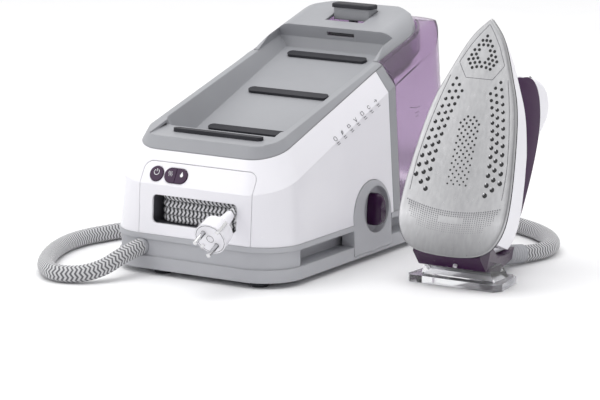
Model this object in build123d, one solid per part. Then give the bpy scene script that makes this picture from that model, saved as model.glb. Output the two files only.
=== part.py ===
"""Steam generator iron: a boiler station with a slide-out water tank, and a corded steam iron on its heel rest.

Millimetres, +Z up. The station faces -Y and the iron stands at its +X side with the soleplate to the front.
Sub-parts are modelled about the station's own centre line. Writing shifts them all, so that the origin is the
bottom centre of the whole object without its mains cord and hose.
"""

import os
from math import cos, pi, radians, sin, tan

from build123d import *

# Station: plan and draft
HALF = 110.85  # half width where the white body meets the base
FRONT = -190.0  # front face at the same height
REAR = 204.0  # rear face at the same height
DRAFT = 3.25  # degrees that the walls lean in
LEAN = tan(radians(DRAFT))
PLAN_RADIUS = 45.0
REAR_RADIUS = 60.0
WALL = 2.5
BASE_TOP = 44.0
FEET = 6.0
BODY_REAR = 43.5  # white body ends, grey rear frame starts
FRAME_REAR = 58.5  # rear frame ends, tank starts
APRON_REAR = -146.0  # the wall that closes the front of the hose channel ends here
GAP = 0.4  # seam between neighbouring shells

# Station: slanted planes, each as (y, z) of its front edge and its slope
BEND = (-187.0, 97.6, 18.75)  # where the walls turn into the slanted band
BAND_TOP = (-168.6, 131.3, 17.3)  # where the band meets the grey cover
RIM = (-162.8, 145.1, 15.1)  # the cover's rim
FLOOR = (-116.0, 126.0, 20.0)  # the iron tray's floor
RIM_HALF = 83.0
CAP_HALF = 80.0
CAP_REAR = 188.0
CAP_RADIUS = 62.0
CAP_RAMP = 33.0  # slope of the cap's sides where they rise out of the rim
CROWN = 15.0  # height of the cap's crown above the rim

# Iron, in its own frame: x across, y from the soleplate into the iron, z from heel to tip
IRON_AT = (247.5, -86.9, 36.5)
IRON_TILT = 22.5  # degrees that it leans back
SOLE_LENGTH = 256.0
SOLE_THICK = 5.0
HANDLE_HALF = 16.0

# Cords
HOSE_DIAMETER = 18.0
CORD_DIAMETER = 7.8

parts = {}


def slanted(plane, drop=0.0):
    """The plane across the station with this front edge and slope, moved down its own normal by drop."""
    y, z, slope = plane
    angle = radians(slope)
    normal = Vector(0, -sin(angle), cos(angle))
    return Plane(origin=Vector(0, y, z) - normal * drop, x_dir=(1, 0, 0), z_dir=normal)


def height_on(plane, y):
    """Height of a slanted plane at y."""
    return plane[1] + (y - plane[0]) * tan(radians(plane[2]))


def footprint(half, front, rear, front_radius=0.0, rear_radius=0.0):
    """A rectangle about the centre line with rounded front and rear corners."""
    face = Pos(0, (front + rear) / 2) * Rectangle(2 * half, rear - front)
    if front_radius:
        face = fillet(face.vertices().group_by(Axis.Y)[0], front_radius)
    if rear_radius:
        face = fillet(face.vertices().group_by(Axis.Y)[-1], rear_radius)
    return face


def on_slope(plane, front_half, rear_half, front, rear, radius, drop=0.0):
    """A trapezium on a slanted plane, between two y positions, with rounded front corners."""
    place = slanted(plane, drop)
    scale = 1 / cos(radians(plane[2]))
    low = (front - place.origin.Y) * scale
    high = (rear - place.origin.Y) * scale
    corners = [(-front_half, low), (front_half, low), (rear_half, high), (-rear_half, high)]
    face = Polygon(*corners, align=None)
    face = fillet(face.vertices().group_by(Axis.Y)[0], radius)
    return place * face


def box(low, high):
    """A box between two corners."""
    size = [b - a for a, b in zip(low, high)]
    return Pos(*low) * Box(*size, align=(Align.MIN, Align.MIN, Align.MIN))


def rod(start, end, radius):
    """A round rod between two points."""
    a, b = Vector(*start), Vector(*end)
    return extrude(Plane(origin=a, z_dir=b - a) * Circle(radius), (b - a).length)


def form(inset=0.0, rear=FRAME_REAR):
    """The station's outer form below the cover, or the space inside it."""
    radius = PLAN_RADIUS - inset
    bottom = BASE_TOP - (1.0 if inset else 0.0)
    foot = Pos(0, 0, bottom) * footprint(HALF - inset, FRONT + inset, rear, radius)
    bend_half = HALF - inset - LEAN * (BEND[1] - BASE_TOP)
    rear_half = HALF - inset - LEAN * (height_on(BEND, rear) - BASE_TOP)
    bend = on_slope(BEND, bend_half, rear_half, BEND[0] + inset, rear, radius)
    over = 1.0 if inset else 0.0
    top = on_slope(
        BAND_TOP, 91.0 - inset, 87.0 - inset, BAND_TOP[0] + inset, rear, 34 - inset, -over
    )
    return loft([foot, bend], ruled=True) + loft([bend, top], ruled=True)


def above(plane, drop=0.0):
    """Everything above a slanted plane, near the station."""
    return extrude(slanted(plane, drop) * Pos(0, 200) * Rectangle(400, 900), 300)


def base():
    """The tray that all stands on, the deck above its hose channel, and the feet."""
    channel = 20.0
    tray = Pos(0, 0, FEET) * extrude(footprint(HALF + 0.7, FRONT - 0.7, REAR, 45, 60), 14)
    core = footprint(HALF - channel, FRONT + channel, REAR - channel, 28, 42)
    tray += Pos(0, 0, 20) * extrude(core, 18)
    inner = footprint(HALF - channel - 3, FRONT + channel + 3, REAR - channel - 3, 25, 39)
    tray -= Pos(0, 0, FEET + 3) * extrude(inner, 32)
    apron = Pos(0, 0, 20) * extrude(footprint(HALF - 1, FRONT + 1.2, REAR - 2, 44, 58), 18)
    tray += apron & (box((-120, -200, 0), (120, APRON_REAR, 60)) - Pos(0, 0, 20) * extrude(inner, 32))
    deck = Pos(0, 0, 38) * extrude(footprint(HALF + 0.7, FRONT - 0.7, REAR, 45, 60), 6)
    deck -= Pos(0, 0, 38) * extrude(footprint(HALF - 32, FRONT + 32, 40, 14, 14), 6)
    arch = arch_block(0.3)
    parts["case_screws"] = screws()
    parts["base_tray"] = tray - arch - parts["case_screws"]
    parts["base_deck"] = deck - arch - rod((*SPOUT, 36), (*SPOUT, 46), 13)
    feet = []
    for x, y in ((-46, -172), (76, -172), (-76, 178), (76, 178)):
        foot = Pos(x, y, 0) * Cylinder(10, FEET, align=(Align.CENTER, Align.CENTER, Align.MIN))
        feet.append(chamfer(foot.edges().group_by(Axis.Z)[0], 1.0))
    parts["rubber_feet"] = Part() + feet


ARCH_AT = (-1.0, 48.0)
ARCH_RADIUS = 39.0
KNOB_AT = (8.0, 53.5)


def arch_block(gap=0.0):
    """The outer block of the knob's housing, on the station's right wall."""
    y, z = ARCH_AT
    radius = ARCH_RADIUS + gap
    low = 10 - gap
    outline = Pos(y, z) * Circle(radius) + Pos(y, (z + low) / 2) * Rectangle(2 * radius, z - low)
    return extrude(Plane(origin=(96 - gap, 0, 0), x_dir=(0, 1, 0), z_dir=(1, 0, 0)) * outline, 30)


def knob():
    """The arch-shaped housing, the decalcification knob in it, and the drain valve behind."""
    y, z = KNOB_AT
    housing = arch_block() & (
        Pos(0, 0, 0) * extrude(footprint(HALF + 1.6, FRONT, REAR, 45), 120, taper=DRAFT * 0.6)
    )
    housing -= rod((103, y, z), (120, y, z), 25.5)
    housing -= rod((90, y, z), (110, y, z), 7.05)
    parts["knob_housing"] = housing
    grip = rod((104, y, z), (110, y, z), 20.5)
    lobes = Circle(20) & Rectangle(40, 26)
    face = Plane(origin=(110, y, z), x_dir=(0, 1, 0), z_dir=(1, 0, 0))
    grip += extrude(face * lobes, 9, taper=8)
    parts["descale_knob"] = grip + rod((84, y, z), (104, y, z), 7)
    parts["knob_seal"] = rod((92, y, z), (95, y, z), 9.0) - rod((92, y, z), (95, y, z), 7.05)
    drain = rod((64, y, z), (84, y, z), 6.9) + rod((40, y, z), (64, y, z), 5)
    parts["drain_valve"] = drain


WINDOW = (-48.5, 57.7, 56.6, 87.0)  # x and z limits of the cord window
PANEL = (-65.0, 75.0, 120.0)  # x limits and top of the front panel
BUTTON_X = -47.0
PILL_X = -22.5
BUTTON_Z = 108.0


def band_plane(z):
    """The plane of the front slanted band, at height z on it."""
    angle = radians(90 - 28.2)
    y = BEND[0] + (z - BEND[1]) * (BAND_TOP[0] - BEND[0]) / (BAND_TOP[1] - BEND[1])
    return Plane(origin=(0, y, z), x_dir=(1, 0, 0), z_dir=(0, -sin(angle), cos(angle)))


def body():
    """White body shell, its front panel with window and buttons, and the grey rear frame."""
    whole = form()
    hollow = form(WALL, rear=FRAME_REAR + 1)
    shell = (whole - hollow) & box((-200, -250, 0), (200, BODY_REAR, 300))
    window = fillet_box(WINDOW, 5)
    left, right, top = PANEL
    panel_zone = fillet_box((left, right, BASE_TOP - 20, top), 10)
    panel_gap = fillet_box((left - GAP, right + GAP, BASE_TOP - 20, top + GAP), 10 + GAP)
    panel = (shell & panel_zone) - window
    shell -= panel_gap
    front = band_plane(BUTTON_Z)
    holes = front * Pos(BUTTON_X, 0) * Circle(8.6)
    holes += front * Pos(PILL_X, 0) * SlotOverall(29.2, 17.2)
    panel -= extrude(holes, 12, both=True)
    parts["front_panel"] = panel
    parts["body_shell"] = shell - arch_block(0.3)
    frame = whole & box((-200, BODY_REAR + GAP, 0), (200, FRAME_REAR, 300))
    frame -= box((-70, BODY_REAR - 1, BASE_TOP - 1), (70, FRAME_REAR - 3, 150))
    frame -= box((-81, BODY_REAR - 1, 172), (81, FRAME_REAR + 1, 260))
    frame -= above(BAND_TOP, 0.3)
    parts["rear_frame"] = frame
    buttons(front)


def fillet_box(limits, radius):
    """A block through the front wall with these x and z limits and rounded corners."""
    left, right, low, high = limits
    middle = ((left + right) / 2, -250, (low + high) / 2)
    face = Plane(origin=middle, x_dir=(1, 0, 0), z_dir=(0, -1, 0))
    return extrude(face * RectangleRounded(right - left, high - low, radius), -100)


def buttons(front):
    """Round power button and the two halves of the mode pill, each with its stem."""
    stem = 14.0

    def press(face, name, x):
        cap = extrude(front * Pos(x, 0) * face, 1.2) + extrude(front * Pos(x, 0) * face, -2.4)
        parts[name] = cap + extrude(front * Pos(x, 0) * Circle(2.5), -stem)

    press(Circle(8.3), "power_button", BUTTON_X)
    pill = SlotOverall(28.6, 16.6)
    half = pill & Pos(-10, 0) * Rectangle(19.6, 20)
    press(Pos(6, 0) * half, "pressure_button", PILL_X - 6)
    half = pill & Pos(10, 0) * Rectangle(19.6, 20)
    press(Pos(-6, 0) * half, "mode_button", PILL_X + 6)


COMPARTMENT = (-54.0, 78.0, -106.0, 53.5, 91.0)  # x limits, rear, and z limits outside
COIL_AT = (12.5, -145.5)
COIL_SIZE = (115.0, 70.0)
COIL_Z = (56.2, 87.6)
LEAD = ((52.4, -180.9, 82.0), (54.4, -196.0, 77.2))
PLUG_AXIS = Vector(0.05, -0.91, -0.40).normalized()
RELIEF = 18.0
PLUG_LENGTH = 26.0
PIN_LENGTH = 19.0
PIN_PITCH = 19.0


def cord_store():
    """The tub behind the window, the wound cord in it, its lead, and the plug."""
    left, right, rear, low, high = COMPARTMENT
    wall = 2.0
    tub = box((left, -182.0, low), (right, rear, high))
    tub -= box((left + wall, -184, low + wall), (right - wall, rear - wall, high - wall))
    parts["cord_compartment"] = tub
    coil = SlotOverall(*COIL_SIZE) - SlotOverall(COIL_SIZE[0] - 33, COIL_SIZE[1] - 33)
    parts["mains_cord_coil"] = Pos(*COIL_AT, COIL_Z[0]) * extrude(coil, COIL_Z[1] - COIL_Z[0])
    parts["mains_cord_lead"] = rod(*LEAD, CORD_DIAMETER / 2)
    gland = rod((30, rear - 4, 72), (30, rear + 10, 72), 6)
    parts["cord_compartment"] -= rod((30, rear - 3, 72), (30, rear + 1, 72), 6)
    parts["cord_gland"] = gland
    plug()


def plug():
    """The mains plug: strain relief and body, and its two round pins."""
    tail = Vector(*LEAD[-1])
    across = Vector(0.64, 0.22, -0.74)
    across = (across - PLUG_AXIS * across.dot(PLUG_AXIS)).normalized()

    def disc(distance, radius):
        return Plane(origin=tail + PLUG_AXIS * distance, z_dir=PLUG_AXIS) * Circle(radius)

    start = Plane(origin=tail, z_dir=tail - Vector(*LEAD[0])) * Circle(5.0)
    relief = loft([start, disc(RELIEF, 7.5)])
    back = loft([disc(RELIEF, 9.5), disc(RELIEF + 8, 17.0)])
    front = loft([disc(RELIEF + 8, 17.0), disc(RELIEF + PLUG_LENGTH, 18.0)])
    parts["plug_body"] = relief + back + front
    pins = []
    for side in (-0.5, 0.5):
        foot = tail + PLUG_AXIS * (RELIEF + PLUG_LENGTH) + across * side * PIN_PITCH
        pins.append(rod(tuple(foot), tuple(foot + PLUG_AXIS * PIN_LENGTH), 2.4))
    parts["plug_pins"] = Part() + pins


def cord_tube(name, route, diameter):
    """A round cord along a route, each corner an arc as large as its two runs allow."""
    points = [Vector(*p) for p in route]
    radii = []
    for before, here, after in zip(points, points[1:], points[2:]):
        turn = (here - before).get_angle(after - here)
        shorter = min((here - before).length, (after - here).length)
        radii.append(0.45 * shorter / tan(radians(turn / 2)))
    path = FilletPolyline(*points, radius=radii)
    section = Plane(origin=points[0], z_dir=points[1] - points[0]) * Circle(diameter / 2)
    tube = sweep(section, path=path)
    expected = pi * diameter**2 / 4 * path.length
    print(name, "length", round(path.length), "volume ratio", round(tube.volume / expected, 4))
    print("  radii", [round(r) for r in radii], "least in diameters", round(min(radii) / diameter, 1))
    return tube


HOSE = [
    (-63, -192, 29), (-66, -218, 25), (-74, -243, 14), (-91, -264, 9), (-117, -271, 9),
    (-144, -252, 9), (-168, -215, 9), (-188, -170, 9), (-197, -120, 9), (-184, -72, 9),
    (-164, -24, 9), (-150, 40, 9), (-146, 110, 9), (-156, 190, 9), (-182, 280, 9),
    (-204, 370, 9), (-190, 452, 9), (-134, 500, 9), (-62, 472, 9), (-22, 400, 9),
    (4, 322, 9), (50, 256, 9), (116, 224, 9), (181, 200, 9), (223, 177, 9),
    (252, 148, 9), (267, 116, 9), (265, 86, 9), (258, 64, 11),
]


def hose():
    """The steam hose from the base's front to the iron's heel, with its gland and strain relief."""
    parts["steam_hose"] = cord_tube("steam_hose", HOSE, HOSE_DIAMETER)
    start, after = Vector(*HOSE[0]), Vector(*HOSE[1])
    out = (after - start).normalized()
    base_end = start - out * 24
    gland = Plane(origin=base_end, z_dir=out) * Circle(8.4)
    gland = loft([gland, Plane(origin=start, z_dir=out) * Circle(9.0)])
    parts["hose_gland"] = gland & box((-90, -200, 20.2), (-40, -170, 37.8))
    parts["base_tray"] -= rod(base_end, start + out * 6, 9.2)
    end, before = Vector(*HOSE[-1]), Vector(*HOSE[-2])
    into = (end - before).normalized()
    narrow = Plane(origin=end, z_dir=into) * Circle(9.0)
    wide = Plane(origin=end + into * 38, z_dir=into) * Circle(11.0)
    cuff = loft([narrow, wide]) - parts["heel_cap"] - parts["handle_shell"]
    parts["hose_relief"] = cuff.solids().sort_by(SortBy.VOLUME)[-1]


def cover():
    """The grey cover: rim, iron tray and the crowned cap over the tank."""
    outer = loft(
        [
            on_slope(BAND_TOP, 91, 87, BAND_TOP[0], FRAME_REAR, 34),
            on_slope(RIM, RIM_HALF + 1, RIM_HALF - 1, RIM[0], FRAME_REAR, 28),
        ],
        ruled=True,
    )
    wall = outer - loft(
        [
            on_slope(BAND_TOP, 88, 84, BAND_TOP[0] + 3, FRAME_REAR - 3, 31, 1.0),
            on_slope(RIM, RIM_HALF - 2, RIM_HALF - 4, RIM[0] + 3, FRAME_REAR - 3, 25, 3.0),
        ],
        ruled=True,
    )
    low, high = RIM[0] - 2, -122.0
    shelf = Polygon(
        (low, lip_top(low) - 3), (high, lip_top(high) - 3), (high, lip_top(high)), (low, lip_top(low)), align=None
    )
    side = Plane(origin=(-85, 0, 0), x_dir=(0, 1, 0), z_dir=(1, 0, 0))
    wall += extrude(side * shelf, 170) & outer
    tub_top = on_slope(RIM, 76 + 3, 74 + 3, -128 - 3, 106, 15)
    tub_floor = on_slope(FLOOR, 66 + 3, 64 + 3, -116 - 3, 103, 13, 3.0)
    wall += loft([tub_floor, tub_top], ruled=True)
    wall += cap_form() - cap_form(3.0) - box((-120, 0, 0), (120, FRAME_REAR + 0.5, 300))
    riser = extrude(on_slope(RIM, 79, 77, 60, 106, 1), 40)
    wall += cap_form() & riser
    mouth = on_slope(RIM, 76, 74, -128, 103, 12)
    floor = on_slope(FLOOR, 66, 64, -116, 100, 10)
    wall -= loft([floor, mouth], ruled=True) + extrude(mouth, 40)
    wall -= lip_cut()
    wall -= lock_clearance()
    for y in STRIP_Y:
        wall -= strip(y, 0.0)
    parts["top_cover"] = wall


STRIP_Y = (-76.0, 4.0, 84.0)
STRIP_HALF = 51.0
LIP_STRIP_Y = -141.0


def lip_top(y):
    """Height of the cover's front lip."""
    return RIM[1] + 0.12 * (y - RIM[0])


def lip_cut():
    """What is cut away above the front lip, between the rim's two sides."""
    low, high = RIM[0] - 20, -120.0
    profile = Polygon(
        (low, lip_top(low)), (high, lip_top(high)), (high, 200), (low, 200), align=None
    )
    side = Plane(origin=(-72, 0, 0), x_dir=(0, 1, 0), z_dir=(1, 0, 0))
    groove = Plane(origin=(4, LIP_STRIP_Y, lip_top(LIP_STRIP_Y) - 1.5)) * SlotOverall(112, 9)
    return extrude(side * profile, 144) + extrude(groove, 5)


def strip(y, rise):
    """A rest strip across the tray floor, or with no rise its seat."""
    place = slanted((y, height_on(FLOOR, y), FLOOR[2]), 1.5)
    return extrude(place * SlotOverall(2 * STRIP_HALF, 10), 1.5 + rise)


def rest_strips():
    """Dark rubber strips that carry the hot iron: three on the tray floor and one on the lip."""
    parts["rest_strips"] = Part() + [strip(y, 3.0) for y in STRIP_Y]
    lip = Plane(origin=(4, LIP_STRIP_Y, lip_top(LIP_STRIP_Y) - 1.5)) * SlotOverall(112, 9)
    parts["lip_strip"] = extrude(lip, 5.0)


def cap_form(inset=0.0):
    """The crowned cap's outer form, or the space inside it."""
    half, rear, radius = CAP_HALF - inset, CAP_REAR - inset, CAP_RADIUS - inset
    front = 40.0
    rim = height_on(RIM, front)
    low = rim - 6 - (2 if inset else 0)
    top = rim + CROWN - inset
    outline = Polyline((half, rim - inset), (half, low), (-half, low), (-half, rim - inset))
    outline += ThreePointArc((-half, rim - inset), (-half + 7, top - 5), (-half + 24, top))
    outline += Line((-half + 24, top), (half - 24, top))
    outline += ThreePointArc((half - 24, top), (half - 7, top - 5), (half, rim - inset))
    section = Plane(origin=(0, front, 0), x_dir=(1, 0, 0), z_dir=(0, -1, 0)) * make_face(outline)
    angle = radians(RIM[2])
    bar = extrude(section, 170, dir=(0, cos(angle), sin(angle)))
    start = front + (5 if inset else 0)
    levels = [(0.0, 226.0), (1.5, 234.0), (6.0, 244.0), (14.0, 250.0), (24.0, 253.0)]
    rings = [Pos(0, 0, z - inset) * footprint(half - i, start, rear - i, 0, radius - i) for i, z in levels]
    plan = extrude(footprint(half, start, rear, 0, radius), 226.0 - inset) + loft(rings, ruled=True)
    top = 252.0 - inset
    roll = Polyline((0, 100), (0, top), (150, top))
    roll += Spline((150, top), (172, top - 4), (rear + 1, top - 19))
    roll += Polyline((rear + 1, top - 19), (rear + 1, 100), (0, 100))
    side = Plane(origin=(-120, 0, 0), x_dir=(0, 1, 0), z_dir=(1, 0, 0))
    ramp = (FRAME_REAR - 0.5, height_on(RIM, FRAME_REAR - 0.5) + 0.6, CAP_RAMP)
    return (bar & plan & extrude(side * make_face(roll), 240)) - above(ramp, inset)


LOCK_TRAVEL = 10.0
LOCK = (-22.0, 24.0, 134.0, 152.0)  # x and y limits of the slider
SHELF = 234.5  # height of the flat that the slider runs on
LATCH = (-10.0, 24.0, 222.0, 225.0)  # x and z limits of the latch tongue


def lock_clearance():
    """The level pocket that the lock slider runs in, its stem's slot and the latch's mouth."""
    left, right, front, rear = LOCK
    pocket = box((left - 1.5, front - 16, SHELF), (right + 1.5, rear + 0.5, 270))
    slot = box((-4, front - 8, 215), (4, rear - 2, SHELF + 1))
    l, r, low, high = LATCH
    return pocket + slot + box((l - 0.5, 95, low - 0.5), (r + 0.5, 130, high + 0.5))


def lock():
    """The slider that locks the iron on its tray, its dark top, and the latch it carries."""
    left, right, front, rear = LOCK
    parts["lock_slider"] = box((left, front, SHELF + 0.3), (right, rear, 248.5))
    top = Plane(origin=((left + right) / 2, (front + rear) / 2 - 2, 248.5))
    dark = extrude(top * RectangleRounded(right - left + 6, rear - front, 4), 4.5)
    parts["lock_top"] = chamfer(dark.edges().group_by(Axis.Z)[-1], 1.0)
    l, r, low, high = LATCH
    latch = box((l, 104, low), (r, rear - 8, high))
    parts["lock_latch"] = latch + box((-3.5, front + 2.5, high), (3.5, rear - 8, SHELF + 0.3))


TANK_BOTTOM = 46.0
SHOULDER = 20.0


def tank_form(inset=0.0):
    """The tank's outer form, or the space inside it."""
    low = TANK_BOTTOM + inset
    half = HALF - 0.6 - inset
    front = FRAME_REAR + 1.0 + inset
    plan = footprint(half, -40, REAR - 0.5 - inset, 0, REAR_RADIUS - inset)
    body = Pos(0, 0, low) * extrude(plan, 220, taper=DRAFT)
    body &= box((-200, front, 0), (200, 300, 236 - inset))
    start = 40.0
    rim = height_on(RIM, start) - inset
    side = 101.0 - inset
    low_side, top_edge = rim - SHOULDER - 8, CAP_HALF - inset
    right = Polyline((0, rim - 190), (130, rim - 190), (130, low_side - 6), (side + 3, low_side))
    right += Spline((side + 3, low_side), (side - 7, rim - 9), (top_edge, rim))
    right += Line((top_edge, rim), (0, rim))
    outline = right + mirror(right, Plane.YZ)
    section = Plane(origin=(0, start, 0), x_dir=(1, 0, 0), z_dir=(0, -1, 0)) * make_face(outline)
    angle = radians(RIM[2])
    return body & extrude(section, 200, dir=(0, cos(angle), sin(angle)))


SPOUT = (0, 130)  # where the tank's valve meets its inlet on the deck
UNDER_CAP = 22.0  # how far the tank's top under the cap lies below the rim


def tank():
    """The slide-out water tank with its collar, lid, fill flap and bottom valve."""
    pocket = extrude(footprint(CAP_HALF + 0.8, 20, CAP_REAR + 0.8, 0, CAP_RADIUS), 300)
    pocket &= above(RIM, UNDER_CAP)
    mouth = extrude(footprint(66, FRAME_REAR + 8, 176, 8, 50), 300) & above(RIM, 60.0)
    walls = tank_form() - tank_form(WALL)
    deck = extrude(footprint(CAP_HALF + 3, FRAME_REAR + 1.0, CAP_REAR + 3, 0, CAP_RADIUS), 300)
    deck &= above(RIM, UNDER_CAP + WALL) - above(RIM, UNDER_CAP)
    lining = extrude(footprint(CAP_HALF + 3, 20, CAP_REAR + 3, 0, CAP_RADIUS), 300)
    lining = (lining & above(RIM, UNDER_CAP + WALL)) & tank_form()
    shell = walls + lining + (deck & tank_form()) - pocket - mouth
    flap_zone = box((-34, 180, 192), (34, 215, 220))
    parts["fill_flap"] = walls & flap_zone
    shell -= box((-34.5, 180, 191.5), (34.5, 215, 220.5)) - lining
    parts["water_tank"] = shell - rod((*SPOUT, 40), (*SPOUT, 60), 9)
    ring = extrude(footprint(75, FRAME_REAR + 4, 183, 6, 56), 300)
    ring -= extrude(footprint(66.2, FRAME_REAR + 8.2, 175.8, 8, 49.8), 300)
    parts["tank_collar"] = ring & (above(RIM, UNDER_CAP + 14) - above(RIM, UNDER_CAP + WALL))
    lid = extrude(footprint(65.8, FRAME_REAR + 8.2, 175.8, 8, 49.8), 300)
    parts["tank_lid"] = lid & (above(RIM, UNDER_CAP + WALL) - above(RIM, UNDER_CAP))
    valve = rod((*SPOUT, 44.2), (*SPOUT, 60), 8.9)
    parts["tank_valve"] = valve - rod((*SPOUT, 43), (*SPOUT, 61), 3)
    parts["tank_inlet"] = rod((*SPOUT, 38), (*SPOUT, 44), 12.9) - rod((*SPOUT, 37), (*SPOUT, 45), 3)


def inside():
    """The boiler and its brackets, the pump, the steam valve, the tube and the control board."""
    boiler = rod((-40, -55, 98), (30, -55, 98), 28)
    parts["boiler"] = boiler
    legs = [box((x, -67, 9), (x + 8, -43, 80)) - boiler for x in (-34, 16)]
    parts["boiler_brackets"] = Part() + legs
    parts["pump"] = rod((-40, 15, 36), (10, 15, 36), 16) + rod((10, 15, 36), (25, 15, 36), 7)
    parts["pump_foot"] = box((-30, 5, 9), (0, 25, 19.5))
    parts["steam_valve"] = box((-80, -66, 80), (-58, -44, 108))
    parts["boiler_tube"] = rod((-58, -55, 94), (-40, -55, 94), 4)
    parts["control_board"] = box((-84, -90, 60), (-82, -20, 120))
    parts["pump_tube"] = rod((-55, 15, 36), (-40, 15, 36), 4)


def screws():
    """Case screws, up through the base from below."""
    places = [(-84, -140), (84, -140), (-84, -60), (84, -60), (-84, 120), (84, 120)]
    heads = [rod((x, y, FEET), (x, y, FEET + 2.5), 3.5) for x, y in places]
    return Part() + heads + [rod((x, y, FEET + 2.5), (x, y, 26), 1.6) for x, y in places]


# Iron -----------------------------------------------------------------------------------------------------------

SOLE_HALF = [  # height from the heel, half width
    (0.0, 0.0), (2.0, 29.0), (8.0, 46.6), (20.0, 57.0), (37.0, 62.5), (60.0, 63.3), (93.0, 60.5),
    (140.0, 54.0), (170.0, 47.0), (194.0, 37.5), (222.0, 25.5), (240.0, 15.0), (256.0, 0.0),
]


def place_iron(shape):
    """From the iron's own frame to where it stands."""
    return Pos(*IRON_AT) * Rot(-IRON_TILT, 0, 0) * shape


def sole_face(inset=0.0):
    """The soleplate's outline in its own plane, which faces -Y, or one that lies inside it."""
    shrink = (SOLE_LENGTH - 3.2 * inset) / SOLE_LENGTH
    points = [(max(half - inset, 0.0), inset + z * shrink) for z, half in SOLE_HALF]
    heel, side, tip = points[:7], points[6:12], points[-1]
    right = Spline(*heel, tangents=[(1, 0), (-0.09, 1)]) + Spline(*side) + Line(side[-1], tip)
    half_face = make_face(right + Line(tip, heel[0]))
    whole = half_face + mirror(half_face, Plane.YZ)
    return Plane(origin=(0, 0, 0), x_dir=(1, 0, 0), z_dir=(0, -1, 0)) * whole


def iron_slab(inset, low, high):
    """The soleplate's outline as a slab between two distances from the sole."""
    return extrude(Pos(0, low, 0) * sole_face(inset), high - low, dir=(0, 1, 0))


def from_side(points, low, high):
    """A profile given as (distance from the sole, height from the heel), extruded across the iron."""
    face = Polygon(*points, align=None)
    face = Plane(origin=(low, 0, 0), x_dir=(0, 1, 0), z_dir=(1, 0, 0)) * face
    return extrude(face, high - low, dir=(1, 0, 0))


INLAY = [
    (55, 203), (66, 210), (80, 214), (93, 209), (105, 200), (113, 190), (119, 177), (123, 160),
    (124.5, 140), (124, 115), (121.5, 90), (118, 70), (114, 57), (109, 51), (103, 54), (99, 75),
    (95, 100), (90, 130), (86, 148), (87, 156), (85, 163), (79, 167), (67, 186),
]
HANDLE = [
    (30, 20), (60, 14), (95, 24), (116, 36), (119, 55), (124, 90), (127, 125), (127, 150),
    (127, 160), (134, 165), (138, 175), (137, 188), (128, 198), (110, 205), (75, 209), (40, 208), (16, 205),
]
FINGERS = [
    (44, 70), (62, 52), (84, 56), (92, 72), (90, 105), (86, 130), (80, 150), (66, 160), (46, 160), (42, 145),
]
HEEL = [
    (6, 2), (24, -8), (62, -2), (116, 22), (116, 35.8), (95, 23.7), (60, 13.7), (34, 19.2), (34, 19.8), (6, 19.8),
]
HEEL_PLAN = [(-40, 0), (40, 0), (40, 26), (18, 118), (-18, 118), (-40, 26)]  # across, distance from the sole
SKIRT = [(-10, -10), (40, -10), (34, 120), (22, 200), (9, 262), (-10, 262)]
REAR_OF_HEEL = 20.0  # the skirt and handle start this high above the heel cap's foot
LAMP_X = 6.3  # the heat lamp's place across the heel cap


def iron():
    """Soleplate, heater, skirt, handle, inlays, heel, clear rest, trigger, shot button and lamp."""
    heel_zone = box((-200, -10, -40), (200, 200, REAR_OF_HEEL))
    within = Pos(0, -3, 0) * from_side(SKIRT, -80, 80)
    heater = iron_slab(14.0, SOLE_THICK, 24) & within
    made = {"soleplate": iron_slab(0.0, 0, SOLE_THICK), "heater_block": heater}
    skirt = iron_slab(1.5, SOLE_THICK, 34) & from_side(SKIRT, -80, 80)
    made["iron_skirt"] = skirt - (iron_slab(6.0, SOLE_THICK - 1, 31) & within) - heel_zone
    handle = from_side(HANDLE, -HANDLE_HALF, HANDLE_HALF) - from_side(FINGERS, -50, 50)
    handle -= skirt + heel_zone
    trigger_slot = box((-8.4, 80, 117), (8.4, 103, 153))
    shot_well = rod((0, 118, 182), (0, 170, 182), 9.3)
    made["handle_shell"] = handle - trigger_slot - shot_well
    made["steam_trigger"] = box((-8, 81, 120), (8, 92, 150))
    made["shot_button"] = rod((0, 122.5, 182), (0, 138.5, 182), 9)
    for side, name in ((-1, "handle_inlay_left"), (1, "handle_inlay_right")):
        low, high = sorted((side * HANDLE_HALF, side * (HANDLE_HALF + 1.6)))
        made[name] = from_side(INLAY, low, high)
    taper = extrude(Polygon(*HEEL_PLAN, align=None), 60, both=True)
    heel = from_side(HEEL, -42, 42) & taper
    heel -= iron_slab(0.0, -1, SOLE_THICK) + iron_slab(14.0, SOLE_THICK - 1, 24.2)
    heel -= from_side(HANDLE, -HANDLE_HALF - 0.1, HANDLE_HALF + 0.1) - heel_zone
    lamp_foot, lamp_face = (LAMP_X, 20.4, -3.1), (LAMP_X, 18.0, -7.4)
    made["heel_cap"] = heel - rod(lamp_foot, lamp_face, 2.3)
    made["heel_lamp"] = rod(lamp_foot, lamp_face, 2.2)
    for name, shape in made.items():
        parts[name] = place_iron(shape)
    heel_rest()


REST_X = (194.0, 304.0)
REST_Y = (-71.0, -14.0)
REST_THICK = 7.5


def heel_rest():
    """The clear rest that the iron stands on: a plate with a flared collar."""
    middle = (sum(REST_X) / 2, sum(REST_Y) / 2)
    plate = Polygon(
        (REST_X[0] + 4, REST_Y[0]), (REST_X[1] - 6, REST_Y[0]), (REST_X[1], REST_Y[0] + 10),
        (REST_X[1] - 6, REST_Y[1] - 6), (REST_X[1] - 14, REST_Y[1]), (REST_X[0] + 12, REST_Y[1]),
        (REST_X[0] + 2, REST_Y[1] - 8), (REST_X[0], REST_Y[0] + 5), align=None,
    )
    rest = extrude(plate, REST_THICK)
    foot = Pos(*middle, REST_THICK) * Rectangle(86, 34)
    neck = Pos(middle[0], middle[1] - 3, 22) * Rectangle(76, 26)
    rest += loft([foot, neck], ruled=True)
    parts["heel_rest"] = rest - parts["heel_cap"] - parts["heel_lamp"]


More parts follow.
